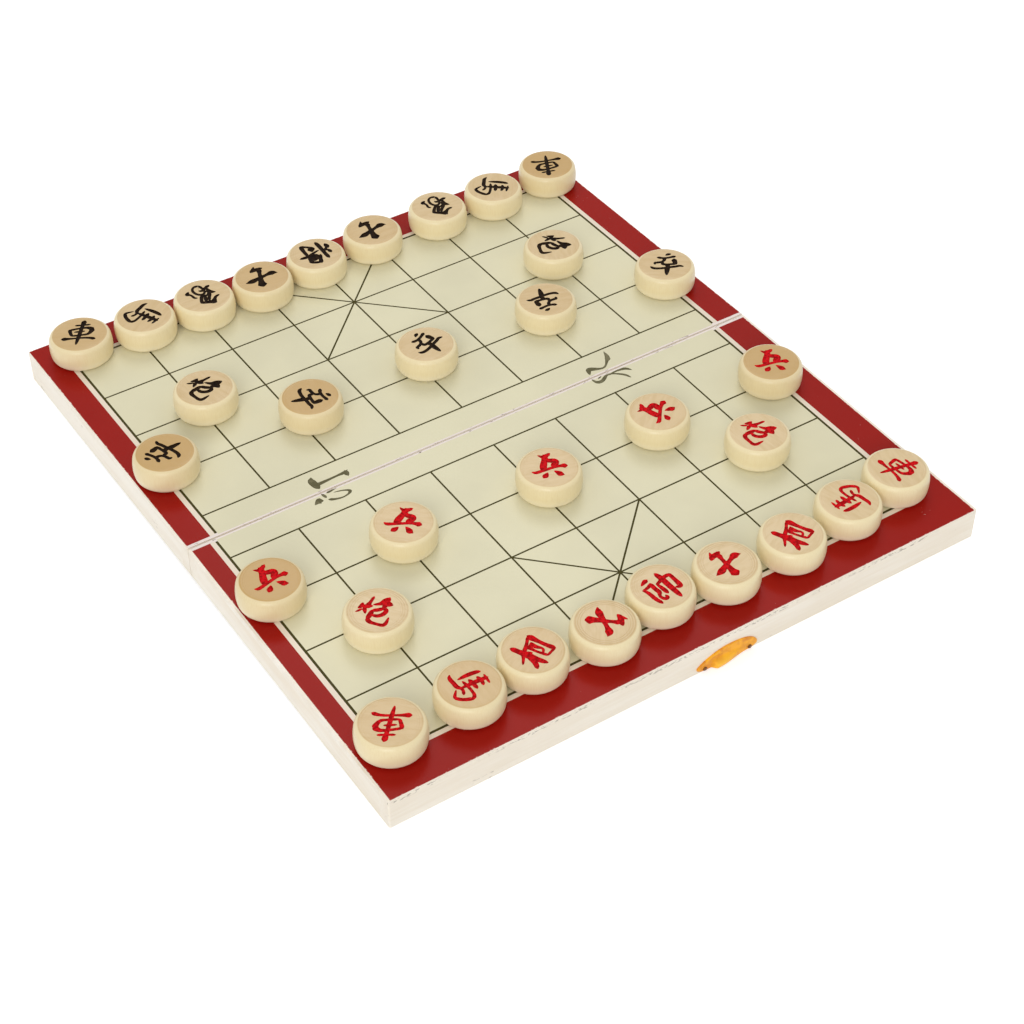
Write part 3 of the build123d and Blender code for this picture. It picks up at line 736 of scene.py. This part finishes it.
# Brush strokes of the traditional signs: x, y and width in millimetres from the middle of each sign
signStrokes = {
    "chariot": [
        [(-2.6, 5.6, 0.9), (0.2, 6.0, 0.6), (3.2, 6.6, 0.9)],
        [(0.5, 8.7, 1.5), (0.3, 6.0, 1.0), (0.2, 2.0, 1.0), (0.1, -2.0, 1.1), (0.0, -4.0, 1.0),
         (-0.1, -7.4, 0.7)],
        [(-4.6, 2.2, 1.1), (-3.9, 0.2, 0.9), (-3.0, -1.7, 0.9)],
        [(-4.6, 2.2, 0.9), (-1.5, 3.4, 0.8), (1.5, 4.3, 0.9), (3.4, 4.4, 1.1), (5.0, 3.4, 1.5)],
        [(5.0, 3.4, 1.4), (4.6, 1.6, 1.1), (3.6, -0.2, 0.9), (1.5, -0.8, 0.8)],
        [(-3.0, -1.7, 0.8), (0.0, -1.2, 0.8), (3.3, -0.2, 0.8)],
        [(-2.2, 1.0, 0.8), (1.8, 1.9, 0.8)],
        [(-6.3, -4.2, 1.5), (-4.0, -3.8, 0.9), (-1.0, -3.3, 0.7), (2.0, -2.7, 0.8), (5.0, -2.6, 0.9),
         (6.9, -3.1, 1.2)],
    ],
    "horse": [
        [(-3.2, 6.3, 1.0), (-3.8, 4.5, 1.3), (-4.1, 1.0, 1.3), (-4.0, -2.2, 0.8)],
        [(0.6, 7.0, 1.2), (0.3, 3.0, 1.4), (0.2, 0.0, 1.2), (0.1, -3.0, 1.0)],
        [(-0.9, 6.8, 0.9), (3.1, 6.4, 0.9)],
        [(-1.2, 4.2, 1.2), (0.9, 4.6, 1.0), (2.8, 4.1, 1.1)],
        [(-1.5, 1.0, 1.3), (1.0, 1.3, 1.2), (3.0, 1.3, 1.1)],
        [(-2.2, -1.4, 0.9), (0.5, -1.0, 1.0), (3.0, -1.0, 0.9), (5.5, -1.2, 1.0), (6.6, -2.4, 1.2)],
        [(6.7, -2.6, 1.3), (5.2, -6.0, 1.1), (3.0, -7.9, 1.2)],
        [(3.0, -7.9, 1.1), (1.8, -7.3, 0.9), (0.0, -5.6, 0.6)],
        [(-7.4, -3.8, 0.7), (-6.0, -4.7, 1.2), (-3.5, -4.5, 1.2), (-1.0, -4.6, 1.3), (0.3, -3.4, 1.0),
         (1.8, -3.6, 0.9), (3.0, -4.3, 1.0)],
    ],
    "minister": [
        [(-3.7, 6.8, 1.6), (-3.6, 4.0, 1.4), (-3.3, 1.0, 2.0), (-3.4, -3.0, 1.6), (-2.7, -7.4, 1.3)],
        [(-8.0, -0.6, 0.8), (-5.5, 0.7, 0.9), (-3.5, 2.2, 1.2), (-1.0, 2.6, 1.2), (2.0, 3.8, 0.9),
         (4.2, 5.0, 1.0)],
        [(-3.6, -0.5, 1.6), (-5.0, -4.0, 1.4), (-6.8, -5.9, 1.3)],
        [(-2.6, 1.5, 1.0), (-1.6, -0.3, 1.0)],
        [(4.8, 4.7, 2.0), (4.6, 1.0, 1.2), (4.6, -3.0, 1.2), (4.9, -5.8, 1.6)],
        [(0.3, 2.5, 1.6), (-0.1, 0.0, 0.9), (0.1, -3.0, 0.9), (0.6, -5.8, 1.1)],
        [(0.6, -5.9, 0.9), (2.8, -6.0, 0.8), (4.8, -6.1, 1.0)],
        [(2.6, 2.4, 0.9), (1.6, 0.2, 1.4), (2.4, -1.8, 0.9), (2.3, -3.0, 0.8), (1.0, -3.7, 0.8),
         (0.2, -3.4, 0.8)],
        [(0.8, 1.2, 1.6), (2.6, 2.4, 0.9)],
    ],
    "advisor": [
        [(-7.2, -0.2, 0.3), (-5.0, -1.2, 2.2), (-2.5, -0.5, 1.1), (0.5, 0.4, 1.4), (3.0, 1.2, 1.5),
         (5.2, 2.0, 2.0), (8.0, 2.3, 0.4)],
        [(1.6, 6.2, 2.6), (1.6, 4.5, 1.8), (1.2, 2.0, 1.5), (0.6, -0.5, 1.3), (0.2, -3.0, 1.1),
         (-0.3, -5.0, 1.8)],
        [(-1.6, -6.2, 1.2), (0.3, -5.8, 1.6), (2.2, -5.9, 1.6), (3.5, -5.0, 1.2)],
        [(2.4, -5.9, 1.4), (1.3, -8.2, 0.6)],
    ],
    "redGeneral": [
        [(-5.9, 4.4, 0.7), (-4.2, 5.2, 1.2), (-2.8, 5.6, 1.5)],
        [(-6.9, 2.0, 0.9), (-6.0, 0.0, 1.2), (-6.0, -4.0, 1.3), (-5.2, -7.0, 1.2)],
        [(-7.0, 1.9, 0.9), (-4.5, 2.2, 1.0), (-2.6, 3.0, 1.3)],
        [(-2.6, 3.2, 1.3), (-2.8, 0.0, 1.3), (-2.4, -2.0, 1.4), (-3.4, -3.2, 1.0), (-3.8, -4.5, 1.0),
         (-2.9, -6.3, 1.2), (-1.6, -5.9, 1.2), (-1.6, -4.8, 0.9)],
        [(-0.7, 1.9, 0.8), (-0.3, -1.0, 1.3), (-0.2, -4.0, 1.3)],
        [(-0.8, 1.7, 0.9), (1.0, 2.1, 1.1), (3.0, 3.2, 1.2), (6.4, 3.2, 1.3)],
        [(6.4, 3.2, 1.3), (6.3, 0.0, 1.2), (6.3, -3.0, 1.5), (5.9, -4.3, 1.3), (4.2, -3.6, 0.9)],
        [(2.2, 6.2, 1.4), (2.7, 3.0, 1.6), (2.6, -1.0, 1.6), (2.7, -5.0, 1.5), (2.8, -8.3, 1.2)],
    ],
    "blackGeneral": [
        [(-3.7, 5.5, 1.4), (-3.6, 2.0, 1.2), (-3.8, -4.0, 1.4), (-3.6, -7.4, 1.3)],
        [(-6.4, 2.2, 1.4), (-6.2, 0.2, 1.1)],
        [(-6.3, 0.2, 1.0), (-4.0, -0.6, 1.0)],
        [(-6.9, -1.8, 1.6), (-6.8, -4.3, 1.3)],
        [(-6.9, -2.2, 1.0), (-4.5, -0.4, 1.0)],
        [(0.8, 7.2, 1.4), (0.2, 5.0, 1.2), (-1.3, 2.0, 1.2)],
        [(1.0, 7.0, 1.2), (4.0, 5.8, 1.2), (5.2, 4.6, 1.0)],
        [(0.0, 4.6, 1.5), (0.6, 2.2, 1.8), (0.8, 0.6, 1.4)],
        [(1.0, 2.9, 2.0), (3.2, 3.2, 2.2), (4.7, 3.8, 1.5)],
        [(0.8, 0.9, 1.4), (2.8, 1.5, 1.8), (4.6, 2.6, 1.2)],
        [(-2.0, -1.6, 0.9), (1.5, -0.6, 1.0), (4.0, 0.7, 1.4), (7.6, 0.4, 1.2)],
        [(4.0, 0.0, 1.2), (4.0, -4.0, 1.2), (3.6, -7.8, 1.5)],
        [(3.6, -7.8, 1.4), (1.8, -6.8, 1.0), (-0.6, -4.6, 1.2), (-0.7, -3.6, 1.0), (0.6, -3.0, 1.4),
         (1.4, -4.2, 1.2)],
        [(-0.2, -3.7, 2.2), (0.9, -3.9, 2.4)],
    ],
    "cannon": [
        [(-4.0, 5.8, 1.0), (-4.1, 3.0, 0.9), (-4.3, 1.0, 1.6)],
        [(-6.6, 1.4, 0.9), (-6.2, 0.0, 1.4), (-7.0, -1.4, 0.8)],
        [(-3.0, 1.2, 1.4), (-5.5, 0.0, 1.5)],
        [(-5.0, -0.6, 1.3), (-3.6, -2.9, 0.9)],
        [(-5.6, -1.5, 0.9), (-7.0, -3.4, 0.8)],
        [(1.6, 7.2, 1.4), (1.0, 5.0, 2.0), (-0.3, 3.4, 1.2), (-2.4, 2.2, 0.8)],
        [(0.6, 4.4, 2.2), (3.7, 4.4, 1.5)],
        [(1.6, 3.6, 1.3), (1.8, 2.0, 1.3)],
        [(2.4, 1.8, 1.2), (3.3, 0.8, 1.3), (2.9, -1.2, 1.3), (1.2, -2.9, 1.2), (-0.6, -2.9, 1.1)],
        [(1.6, 1.6, 1.2), (0.2, 0.2, 1.3), (-1.5, -0.6, 1.2)],
        [(-1.7, -0.8, 1.2), (-1.6, -3.0, 1.4), (-1.7, -5.2, 1.3)],
        [(-1.7, -5.2, 1.3), (-0.6, -6.6, 1.3), (2.5, -6.6, 1.0), (4.8, -6.5, 1.2), (5.6, -5.5, 1.2),
         (5.5, -3.5, 0.9), (5.4, -2.0, 0.6)],
    ],
    "redSoldier": [
        [(-2.8, 7.6, 0.6), (-1.8, 6.6, 1.0), (-0.6, 6.4, 1.8), (0.6, 6.9, 1.3), (1.7, 7.8, 1.1)],
        [(-0.4, 6.2, 1.8), (-0.8, 4.5, 1.5), (-1.8, 2.0, 1.8), (-2.5, -0.5, 1.8), (-2.3, -1.3, 1.4)],
        [(-0.6, 4.2, 1.4), (1.2, 3.6, 1.6), (3.0, 3.3, 1.7), (3.3, 2.2, 1.7), (2.4, 1.0, 1.8),
         (1.8, -0.4, 1.6)],
        [(-7.2, -1.6, 0.6), (-6.0, -2.4, 1.3), (-3.5, -1.8, 1.1), (0.0, -0.9, 1.1), (3.0, -0.3, 1.0),
         (5.2, -0.2, 1.3), (6.5, -0.5, 1.9)],
        [(-1.4, -3.3, 0.7), (-2.3, -4.6, 1.6), (-3.2, -5.5, 1.5)],
        [(1.6, -2.7, 0.7), (2.9, -4.0, 1.5), (3.5, -4.9, 1.8), (4.6, -5.5, 0.9)],
    ],
    "blackSoldier": [
        [(0.4, 6.7, 0.7), (1.2, 7.4, 1.2), (2.2, 7.8, 1.1)],
        [(-3.0, 5.0, 1.3), (-1.3, 4.5, 1.0), (0.8, 4.7, 1.0), (3.0, 5.5, 1.0), (4.2, 6.0, 1.3)],
        [(-0.2, 4.4, 1.3), (-0.4, 2.6, 1.0), (-1.8, 1.4, 1.0), (-4.0, 1.0, 1.2)],
        [(-4.3, 1.3, 1.0), (-4.5, 0.0, 1.0)],
        [(-1.0, 1.4, 1.0), (-1.2, 0.0, 1.2), (0.2, -0.3, 1.1), (2.5, 0.0, 1.0), (4.6, 0.4, 1.2)],
        [(4.0, 3.6, 1.6), (4.2, 2.0, 1.5), (4.8, 0.4, 1.2)],
        [(4.0, 3.5, 1.0), (3.2, 3.0, 0.9)],
        [(1.0, -0.2, 1.3), (1.2, -2.0, 1.5)],
        [(-6.2, -2.2, 0.9), (-5.2, -3.3, 1.2), (-3.0, -3.4, 1.1), (-0.5, -3.0, 1.1), (2.0, -2.2, 1.1),
         (5.0, -1.6, 1.1), (6.2, -0.9, 1.1), (7.8, -1.4, 0.9)],
        [(1.0, -2.6, 1.6), (0.8, -4.5, 1.5), (0.6, -7.8, 1.0)],
    ],
    "elephant": [
        [(-4.6, 5.6, 0.9), (-5.9, 4.2, 1.5), (-4.8, 3.6, 0.9), (-4.2, 2.0, 0.9), (-4.3, 0.4, 0.9),
         (-3.3, -0.2, 0.9)],
        [(0.8, 7.6, 1.2), (-1.2, 7.6, 0.9), (-2.5, 6.0, 0.9), (-2.6, 3.5, 1.0), (-1.6, 1.4, 1.0),
         (0.0, 0.6, 1.1), (1.2, 1.2, 0.9), (1.9, 2.5, 0.9), (1.9, 4.5, 0.9), (1.4, 7.2, 1.1)],
        [(0.0, 3.9, 0.9), (0.8, 3.1, 1.1), (2.2, 3.9, 1.1), (3.4, 4.6, 1.1), (5.0, 5.2, 1.3)],
        [(3.2, 4.2, 1.1), (3.6, 2.0, 1.1), (3.9, 0.4, 1.5), (5.4, -0.4, 0.8)],
        [(2.6, 2.2, 0.9), (3.0, 0.2, 1.0), (1.6, -0.4, 0.9)],
        [(3.6, 0.2, 1.0), (1.6, -1.0, 1.0), (-0.6, -0.2, 1.0)],
        [(-0.8, 0.2, 1.1), (-2.0, -2.0, 1.1), (-3.0, -4.4, 1.2)],
        [(0.6, -0.2, 1.0), (-0.4, -2.8, 1.2), (-0.8, -4.4, 1.1)],
        [(3.2, -0.4, 1.0), (1.4, -2.6, 1.1), (0.6, -4.5, 1.1)],
        [(-3.2, -4.4, 1.2), (-1.0, -5.4, 1.3), (1.2, -6.2, 1.6), (2.2, -7.2, 1.6)],
        [(1.8, -6.4, 1.8), (3.0, -4.8, 1.1), (4.2, -3.6, 1.0), (5.7, -3.2, 1.0)],
    ],
}

# The two river signs, printed across the seam: x along the fold and y from it, for each half
riverStrokes = {
    "black": [
        [(-74.9, 9.9, 0.8), (-75.8, 8.4, 2.6), (-75.6, 5.5, 2.6), (-75.3, 3.4, 2.4)],
        [(-75.5, 4.9, 2.0), (-70.0, 5.1, 1.3), (-65.0, 5.4, 1.1), (-62.0, 5.3, 1.8), (-60.3, 6.2, 0.5)],
        [(-61.5, 5.4, 2.4), (-61.6, 3.5, 1.6)],
        [(55.6, 2.4, 1.1), (56.3, 4.2, 1.8), (57.0, 5.4, 2.2), (59.0, 4.4, 2.0), (61.0, 3.2, 1.3),
         (63.2, 2.7, 1.0), (65.0, 3.8, 1.0), (66.6, 5.6, 1.2), (68.0, 7.0, 2.0), (68.9, 8.6, 1.8),
         (69.4, 11.8, 0.5)],
        [(66.8, 5.8, 1.0), (68.7, 6.5, 1.3)],
    ],
    "red": [
        [(-81.2, -4.7, 0.8), (-79.8, -4.0, 2.0), (-78.8, -3.7, 2.8), (-78.4, -3.9, 2.4)],
        [(-76.1, -1.0, 1.1), (-75.8, -1.8, 1.3), (-75.6, -3.0, 1.4)],
        [(-73.7, -1.1, 1.2), (-72.3, -1.0, 1.1), (-70.1, -0.8, 0.5)],
        [(-74.8, -5.2, 1.6), (-73.2, -6.1, 1.2), (-70.0, -7.0, 0.9), (-67.0, -6.4, 0.9), (-65.4, -5.2, 1.6),
         (-66.4, -4.0, 1.0), (-69.0, -2.9, 0.8), (-71.5, -2.4, 0.5)],
        [(54.4, -1.1, 1.0), (54.6, -2.4, 1.2), (55.4, -3.8, 1.8), (57.5, -4.0, 1.6), (59.6, -2.7, 1.6),
         (61.0, -1.7, 1.2), (63.4, -1.9, 0.9), (66.0, -3.8, 1.1), (68.0, -5.8, 1.3), (68.9, -8.2, 0.9)],
        [(62.5, -2.2, 1.0), (65.5, -1.6, 0.9), (68.5, -1.9, 1.3), (70.4, -2.3, 1.6), (72.0, -4.3, 0.9)],
        [(57.2, -1.6, 0.9), (58.5, -1.2, 0.7)],
    ],
}


brushLook = {
    "tipReach": 0.5,  # how far the tip goes past the stroke's end, and how wide it is there
    "tipWidth": 0.15,
    "bevelSteps": 2,
    "curveSteps": 5,
    "order": 3,
    "spread": 1.3,  # power of the width, as broad strokes spread more than narrow ones
    "weld": 0.0001,
}
riverLook = {
    "depth": 0.03,  # how far the ink stands out from the paper, of half a stroke's width
    "boldness": 0.93,
}


def withTips(stroke):
    # A stroke gets one narrow point past each end, so that the brush lifts off to a short tip
    ends = []
    for first, second in ((stroke[0], stroke[1]), (stroke[-1], stroke[-2])):
        start = Vector(first[:2])
        out = (start - Vector(second[:2])).normalized() * first[2] * brushLook["tipReach"]
        ends.append((*(start + out), first[2] * brushLook["tipWidth"]))
    return [ends[0], *stroke, ends[1]]


def makeActive(thing):
    bpy.ops.object.select_all(action="DESELECT")
    thing.select_set(True)
    bpy.context.view_layer.objects.active = thing


def brushMesh(name, strokes, paint, depth, boldness):
    # Round tubes along the strokes, pressed flat to the given share of their width
    look = brushLook
    curve = bpy.data.curves.new(name, "CURVE")
    curve.dimensions = "3D"
    curve.bevel_depth = mm
    curve.bevel_resolution = look["bevelSteps"]
    curve.resolution_u = look["curveSteps"]
    curve.use_fill_caps = True
    for stroke in strokes:
        points = withTips(stroke)
        spline = curve.splines.new("NURBS")
        spline.points.add(len(points) - 1)
        for point, (x, y, width) in zip(spline.points, points):
            point.co = (x * mm, y * mm, 0, 1)
            point.radius = boldness * width ** look["spread"] / 2
        spline.order_u = look["order"]
        spline.use_endpoint_u = True
    brush = bpy.data.objects.new(name, curve)
    bpy.context.collection.objects.link(brush)
    makeActive(brush)
    bpy.ops.object.convert(target="MESH")
    brush = bpy.context.object
    bpy.ops.object.mode_set(mode="EDIT")
    bpy.ops.mesh.select_all(action="SELECT")
    bpy.ops.mesh.remove_doubles(threshold=look["weld"] * mm)  # joins the caps to their tubes
    bpy.ops.mesh.normals_make_consistent(inside=False)
    bpy.ops.object.mode_set(mode="OBJECT")
    brush.data.transform(Matrix.Diagonal((1, 1, depth, 1)))
    setMaterial(brush, paint)
    return brush


def printRiver(colour):
    signs = brushMesh(f"{colour}_river_signs", riverStrokes[colour], riverInk, **riverLook)
    signs.data.transform(plans[colour]["plane"] @ Matrix.Translation((0, 0, plans[colour]["top"])))
    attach(signs, f"{colour}_tray")


for colour in plans:
    printRiver(colour)
print("river signs printed")

# Turned pieces: a disc with rounded rims, a faint turned ring, and its sign carved and painted
turnedPiece = {
    "radius": 13.5,
    "height": 11.18,
    "swell": 0.9,  # how far the side swells out past the two rims
    "swellSteps": 5,
    "topRound": 1.7,  # how far each rim's rounding reaches along its two faces
    "footRound": 2.0,
    "roundSteps": 7,
    "sides": 96,
    "ringInset": 0.25,
    "ringWidth": 0.22,
    "ringDepth": 0.05,
    "boldness": {"plain": 1.4, "chariot": 1.7},  # the paint spreads past the brush's own strokes
    "carvedDepth": 0.45,  # of half a stroke's width
    "smoothAngle": 32,
    "lowered": 0.01,  # how far the piece is let down from the middle of its CAD solid's box
}
paints = {
    "red": {"colour": tint(215, 14, 24), "deep": tint(158, 4, 8), "roughness": 0.45},
    "black": {"colour": tint(20, 9, 0), "deep": tint(40, 24, 6), "roughness": 0.5},
}
paintFinish = {
    "specular": 0.04,
    "cloud": (0.9, 3.0),
    "deepFrom": (0.4, 0.62),
    "grit": (3.0, 2.0),
    "bump": (0.15, 0.2),
}
turnedWoods = {
    "surface": {"roughness": 0.34, "specular": 0.25, "coat": 0.22, "coatRoughness": 0.14},
    "side": tint(241, 226, 184),
    "sideDeep": tint(238, 221, 177),
    "fibres": ((2.6, 2.6, 0.16), 4.0, 0.3),
    "fibresFrom": (0.38, 0.72),
    # Painted light: the foot colour and its fade paint light bounced up from the paper onto the side's
    # lower part
    "foot": tint(250, 241, 213),
    "paintedFootLightFade": (1.0, 5.5, 0.7, 0.0),  # the side is paler low down
    "top": tint(224, 200, 157),
    "topDeep": tint(216, 190, 144),
    "topFrom": (10.95, 11.15),  # heights between which the side's looks give way to the top's
    "mottle": ((0.12, 0.5, 0.5), 4.0, 0.6),
    "mottleFrom": (0.35, 0.7),
    "dark": tint(192, 152, 84),
    "pores": (5.0, 2.0),
    "poresFade": (0.6, 0.8, 0.0, 0.06),
    "toneShares": (0.2, 0.9),  # how much of a piece's tone its side and its top take
    "ringWaves": 7.0,  # radians to a millimetre
    "ringsFrom": (8.0, 9.5),
    # Painted shade: the turned rings are painted darker along their waves, on top of their bump
    "paintedRingShadeFade": (0.2, 0.9, 0.0, 0.4),
    "heights": {"fibres": 0.2, "rings": 2.2, "pores": 0.1},
    "bump": (0.25, 0.12),
}


def makePaint(colour):
    look, finish = paints[colour], paintFinish
    material, tree, shader = newMaterial(f"{colour}Paint", look["roughness"], finish["specular"])
    where = attribute(tree, "turned", "Vector")
    clouded = fade(tree, noise(tree, where, *finish["cloud"]), *finish["deepFrom"])
    tree.links.new(mixColours(tree, clouded, look["colour"], look["deep"]), shader.inputs["Base Color"])
    roughen(tree, shader, noise(tree, where, *finish["grit"]), *finish["bump"])
    return material


def makeTurnedWood():
    # "turned" holds a point's place on its own piece in millimetres and "grain" that place moved on
    # for each piece; "tone" and "rings" are the piece's own looks
    look = turnedWoods
    material, tree, shader = newMaterial("turnedWood", **look["surface"])
    place = wire(tree, "SeparateXYZ", {0: attribute(tree, "turned", "Vector")}).outputs
    grainPlace = attribute(tree, "grain", "Vector")
    onTop = fade(tree, place[2], *look["topFrom"])

    fibres = stretchedNoise(tree, grainPlace, *look["fibres"])
    side = mixColours(tree, fade(tree, fibres, *look["fibresFrom"]), look["side"], look["sideDeep"])
    # Painted light: the side is painted paler towards its foot
    side = mixColours(tree, fade(tree, place[2], *look["paintedFootLightFade"]), side, look["foot"])

    mottle = stretchedNoise(tree, grainPlace, *look["mottle"])
    pores = noise(tree, grainPlace, *look["pores"])
    top = mixColours(tree, fade(tree, mottle, *look["mottleFrom"]), look["top"], look["topDeep"])
    top = mixColours(tree, fade(tree, pores, *look["poresFade"]), top, look["dark"])
    colour = mixColours(tree, onTop, side, top)
    toned = times(tree, attribute(tree, "tone"), fade(tree, onTop, 0.0, 1.0, *look["toneShares"]))
    colour = mixColours(tree, toned, colour, look["dark"])

    flat = wire(tree, "CombineXYZ", {0: place[0], 1: place[1]}).outputs[0]
    radius = wire(tree, "VectorMath", {0: flat}, operation="LENGTH").outputs["Value"]
    wave = reckon(tree, "SINE", times(tree, radius, look["ringWaves"]))
    band = times(tree, fade(tree, radius, *look["ringsFrom"]), onTop)
    rings = times(tree, times(tree, wave, band), attribute(tree, "rings"))
    # Painted shade: the rings' waves darken the colour, for the shade in the turned grooves; their relief
    # is the bump below
    colour = mixColours(tree, fade(tree, rings, *look["paintedRingShadeFade"]), colour, look["dark"])
    tree.links.new(colour, shader.inputs["Base Color"])

    heights = look["heights"]
    height = times(tree, fibres, heights["fibres"])
    height = reckon(tree, "ADD", height, times(tree, rings, heights["rings"]))
    height = reckon(tree, "ADD", height, times(tree, pores, heights["pores"]))
    roughen(tree, shader, height, *look["bump"])
    return material


turnedWood = makeTurnedWood()
signPaints = {colour: makePaint(colour) for colour in paints}


def selectEdges(mesh, test):
    # Picks the edges whose two end heights pass the test
    select(mesh, "EDGE", lambda edge: test(*[mesh.vertices[index].co.z for index in edge.vertices]))


def selectRim(mesh, height):
    selectEdges(mesh, lambda first, second: abs(first - height) < tiny and abs(second - height) < tiny)


def selectUprights(mesh):
    selectEdges(mesh, lambda first, second: abs(first - second) > tiny)


def plainDisc():
    height, swell = turnedPiece["height"] * mm, turnedPiece["swell"] * mm
    rimRadius = turnedPiece["radius"] * mm - swell
    bpy.ops.mesh.primitive_cylinder_add(vertices=turnedPiece["sides"], radius=rimRadius, depth=height)
    disc = bpy.context.object
    disc.data.transform(Matrix.Translation((0, 0, height / 2)))
    bpy.ops.object.mode_set(mode="EDIT")
    selectUprights(disc.data)
    bpy.ops.mesh.subdivide(number_cuts=turnedPiece["swellSteps"] - 1)
    bpy.ops.object.mode_set(mode="OBJECT")
    for vertex in disc.data.vertices:
        fromMiddle = 2 * vertex.co.z / height - 1
        grown = 1 + swell * (1 - fromMiddle ** 2) / rimRadius
        vertex.co.x *= grown
        vertex.co.y *= grown
    bpy.ops.object.mode_set(mode="EDIT")
    for rim, size in ((height, "topRound"), (0, "footRound")):
        selectRim(disc.data, rim)
        bpy.ops.mesh.bevel(offset=turnedPiece[size] * mm, segments=turnedPiece["roundSteps"], profile=0.5)
    # The top face is the only level one with more than four corners that looks up
    select(disc.data, "FACE", lambda face: face.normal.z > 0.99 and len(face.vertices) > 4)
    inset, width, depth = (turnedPiece[key] for key in ("ringInset", "ringWidth", "ringDepth"))
    for thickness, rise in ((inset, 0), (width, -depth), (width, depth), (inset, 0)):
        bpy.ops.mesh.inset(thickness=thickness * mm, depth=rise * mm)
    bpy.ops.object.mode_set(mode="OBJECT")
    disc.data.materials.append(turnedWood)
    return disc


def carvedDisc(sign, colour):
    disc = plainDisc()
    disc.name = f"{sign}_{colour}_master"
    boldness = turnedPiece["boldness"].get(sign, turnedPiece["boldness"]["plain"])
    for stroke in signStrokes[sign]:
        cutter = brushMesh("stroke", [stroke], signPaints[colour], turnedPiece["carvedDepth"], boldness)
        cutter.data.transform(Matrix.Translation((0, 0, turnedPiece["height"] * mm)))
        carve = disc.modifiers.new("carve", "BOOLEAN")
        carve.operation = "DIFFERENCE"
        carve.solver = "MANIFOLD"
        carve.material_mode = "TRANSFER"
        carve.object = cutter
        makeActive(disc)
        bpy.ops.object.modifier_apply(modifier=carve.name)
        bpy.data.objects.remove(cutter)
    bpy.ops.object.shade_smooth_by_angle(angle=math.radians(turnedPiece["smoothAngle"]))
    return disc


# Each piece: its sign, how far it is turned from upright in degrees, how dark its wood is and how
# clear its turned rings are, both from 0 to 1
pieceLooks = {
    "red_left_chariot": ("chariot", 138, 0.35, 0.2),
    "red_left_horse": ("horse", -90, 0.5, 0.2),
    "red_left_minister": ("minister", 25, 0.3, 0.2),
    "red_left_advisor": ("advisor", 60, 0.15, 1.0),
    "red_general": ("redGeneral", 3, 0.12, 0.5),
    "red_right_advisor": ("advisor", 188, 0.1, 0.7),
    "red_right_minister": ("minister", 25, 0.08, 0.2),
    "red_right_horse": ("horse", 98, 0.12, 0.2),
    "red_right_chariot": ("chariot", -99, 0.12, 0.2),
    "red_left_cannon": ("cannon", -55, 0.05, 0.7),
    "red_right_cannon": ("cannon", -90, 0.1, 0.2),
    "red_soldier_1": ("redSoldier", 0, 0.95, 0.1),
    "red_soldier_2": ("redSoldier", -43, 0.2, 0.2),
    "red_soldier_3": ("redSoldier", -21, 0.2, 0.2),
    "red_soldier_4": ("redSoldier", 37, 0.25, 0.2),
    "red_soldier_5": ("redSoldier", -26, 0.85, 0.2),
    "black_left_chariot": ("chariot", -36, 0.65, 0.2),
    "black_left_horse": ("horse", -151, 0.35, 0.2),
    "black_left_elephant": ("elephant", 0, 0.25, 0.2),
    "black_left_advisor": ("advisor", 170, 0.65, 0.5),
    "black_general": ("blackGeneral", 178, 0.25, 0.5),
    "black_right_advisor": ("advisor", 180, 0.45, 0.5),
    "black_right_elephant": ("elephant", -15, 0.25, 0.2),
    "black_right_horse": ("horse", -128, 0.3, 0.2),
    "black_right_chariot": ("chariot", 154, 0.9, 0.2),
    "black_left_cannon": ("cannon", -79, 0.25, 0.5),
    "black_right_cannon": ("cannon", -112, 0.2, 0.5),
    "black_soldier_1": ("blackSoldier", 99, 0.95, 0.1),
    "black_soldier_2": ("blackSoldier", -104, 0.85, 0.1),
    "black_soldier_3": ("blackSoldier", 13, 0.25, 0.2),
    "black_soldier_4": ("blackSoldier", 163, 0.35, 0.2),
    "black_soldier_5": ("blackSoldier", -36, 0.3, 0.2),
}
grainStep = Vector((53.0, 31.0, 17.0))  # moves the grain on from one piece to the next


def writeLooks(mesh, count, tone, rings):
    places = [part / mm for vertex in mesh.vertices for part in vertex.co]
    shift = grainStep * count
    grain = [value + shift[index % 3] for index, value in enumerate(places)]
    for name, values in (("turned", places), ("grain", grain)):
        mesh.attributes.new(name, "FLOAT_VECTOR", "POINT").data.foreach_set("vector", values)
    for name, value in (("tone", tone), ("rings", rings)):
        layer = mesh.attributes.new(name, "FLOAT", "POINT")
        layer.data.foreach_set("value", [value] * len(mesh.vertices))


def placePieces():
    masters = {}
    for count, (name, (sign, turn, tone, rings)) in enumerate(pieceLooks.items()):
        colour = name.split("_")[0]
        if (sign, colour) not in masters:
            masters[sign, colour] = carvedDisc(sign, colour)
        piece = masters[sign, colour].copy()
        piece.data = piece.data.copy()
        piece.name = f"{name}_carved"
        bpy.context.collection.objects.link(piece)
        writeLooks(piece.data, count, tone, rings)
        low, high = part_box(name)
        turning = halfPlane(colour).to_3x3().to_4x4()
        middle = Matrix.Translation((0, 0, -turnedPiece["height"] * mm / 2 - turnedPiece["lowered"] * mm))
        spin = Matrix.Rotation(math.radians(turn), 4, "Z")
        piece.data.transform(Matrix.Translation((low + high) / 2) @ turning @ spin @ middle)
        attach(piece, name)
        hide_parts(name)
    for master in masters.values():
        bpy.data.objects.remove(master)
    print("pieces placed:", len(pieceLooks))


placePieces()
